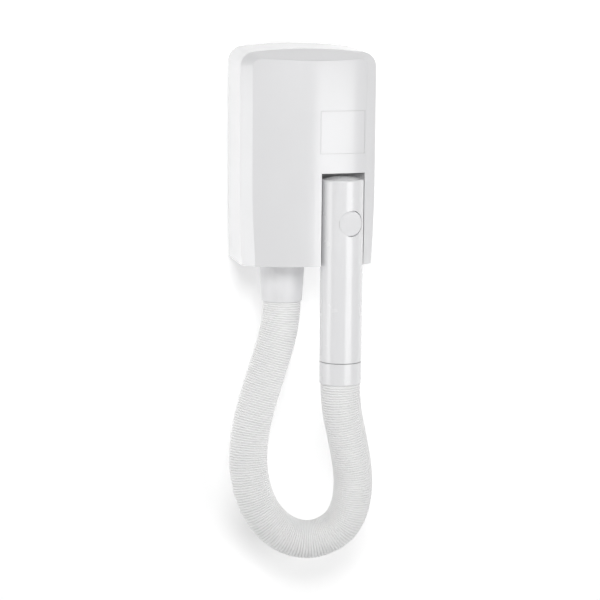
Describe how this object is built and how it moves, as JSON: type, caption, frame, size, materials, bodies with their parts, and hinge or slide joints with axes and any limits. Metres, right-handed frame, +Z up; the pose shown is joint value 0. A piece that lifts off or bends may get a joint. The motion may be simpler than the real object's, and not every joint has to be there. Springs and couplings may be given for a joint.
{
  "type": "hair dryer",
  "caption": "Wall-mounted hair dryer: a blower and heater in a wall housing, a corrugated hose, and a tube handset with a push button that parks in a bay.",
  "frame": {"origin": "centre of the wall screw pattern, on the back face of the wall plate", "axes": "+X to the right seen from the front, +Y into the wall, +Z up"},
  "size_m": [0.1588, 0.1203, 0.5776],
  "materials": {
    "housing_white": "satin moulded plastic with a fine spark texture",
    "zinc_steel": "zinc plated",
    "black_rubber": "matt",
    "black_plastic": "matt",
    "board_green": "lacquered board",
    "board_yellow": "glossy",
    "aluminium": "as extruded",
    "fuse_glass": "clear with plated caps",
    "grey_plastic": "matt moulded",
    "bronze": "sintered bronze and copper",
    "dark_iron": "dark laminated iron and ferrite",
    "mica": "mica sheet",
    "heater_wire": "oxidised resistance wire",
    "brushed_steel": "brushed",
    "collar_white": "satin moulded plastic",
    "filter_foam": "open-cell foam",
    "hose_white": "matt flexible plastic",
    "handset_white": "glossy moulded plastic",
    "washer_grey": "matt",
    "button_white": "soft satin plastic",
    "cuff_white": "glossy moulded plastic"
  },
  "bodies": {
    "wall_unit": {"wall_plate": "housing_white", "front_cover": "housing_white", "blanking_plate": "housing_white", "cover_screws": "zinc_steel", "cable_grommet": "black_rubber", "cable_clamp": "black_plastic", "clamp_screws": "zinc_steel", "terminal_block": "black_plastic", "terminal_screws": "zinc_steel", "circuit_board": "board_green", "board_screws": "zinc_steel", "relay": "black_plastic", "smoothing_capacitor": "black_plastic", "suppression_capacitor": "board_yellow", "heat_sink": "aluminium", "triac": "black_plastic", "board_fuse": "fuse_glass", "board_connector": "black_plastic", "blower_housing": "grey_plastic", "blower_lid": "grey_plastic", "blower_screws": "zinc_steel", "motor_mount": "grey_plastic", "motor_can": "zinc_steel", "motor_end_cap": "black_plastic", "motor_bearings": "bronze", "motor_magnets": "dark_iron", "motor_brushes": "black_plastic", "duct_adapter": "grey_plastic", "heater_sleeve": "mica", "heater_frame": "mica", "heater_coil": "heater_wire", "thermostat": "brushed_steel", "thermal_fuse": "brushed_steel", "outlet_collar": "collar_white", "inlet_filter": "filter_foam", "hose": "hose_white", "holder_magnet": "zinc_steel", "holder_switch": "black_plastic", "plunger_spring": "zinc_steel", "switch_bracket": "grey_plastic"},
    "rotor": {"motor_shaft": "zinc_steel", "armature": "dark_iron", "armature_windings": "bronze", "commutator": "bronze", "impeller": "grey_plastic", "impeller_nut": "zinc_steel"},
    "handset": {"handset_body": "handset_white", "outlet_grille": "handset_white", "switch_carrier": "grey_plastic", "handset_switch": "black_plastic", "button_spring": "zinc_steel", "handset_magnet": "zinc_steel", "swivel_washer": "washer_grey"},
    "handset_button": {"push_button": "button_white"},
    "hose_end": {"hose_cuff": "cuff_white"},
    "holder_plunger": {"holder_plunger": "grey_plastic"}
  },
  "joints": [
    {"name": "fan_spin", "type": "hinge", "parent": "wall_unit", "child": "rotor", "pos_m": [0.01, -0.05, 0.052], "axis": [0, -1, 0], "continuous": true},
    {"name": "handset_pull", "type": "slide", "parent": "wall_unit", "child": "handset", "axis": [0, -1, 0], "range_m": [0, 0.07], "deforming": ["hose"]},
    {"name": "button_press", "type": "slide", "parent": "handset", "child": "handset_button", "axis": [-0.3173, 0.9483, 0], "range_m": [0, 0.0025], "stiffness_N_per_m": 500, "springref_m": -0.0008, "deforming": ["button_spring"]},
    {"name": "hose_swivel", "type": "hinge", "parent": "handset", "child": "hose_end", "pos_m": [0.0362, -0.097, -0.235], "axis": [0, 0, 1], "continuous": true},
    {"name": "plunger_release", "type": "slide", "parent": "wall_unit", "child": "holder_plunger", "axis": [0, -1, 0], "range_m": [0, 0.002], "deforming": ["plunger_spring"]}
  ],
  "couplings": [
    {"joint": "plunger_release", "follows": "handset_pull", "ratio": 0.028571}
  ]
}
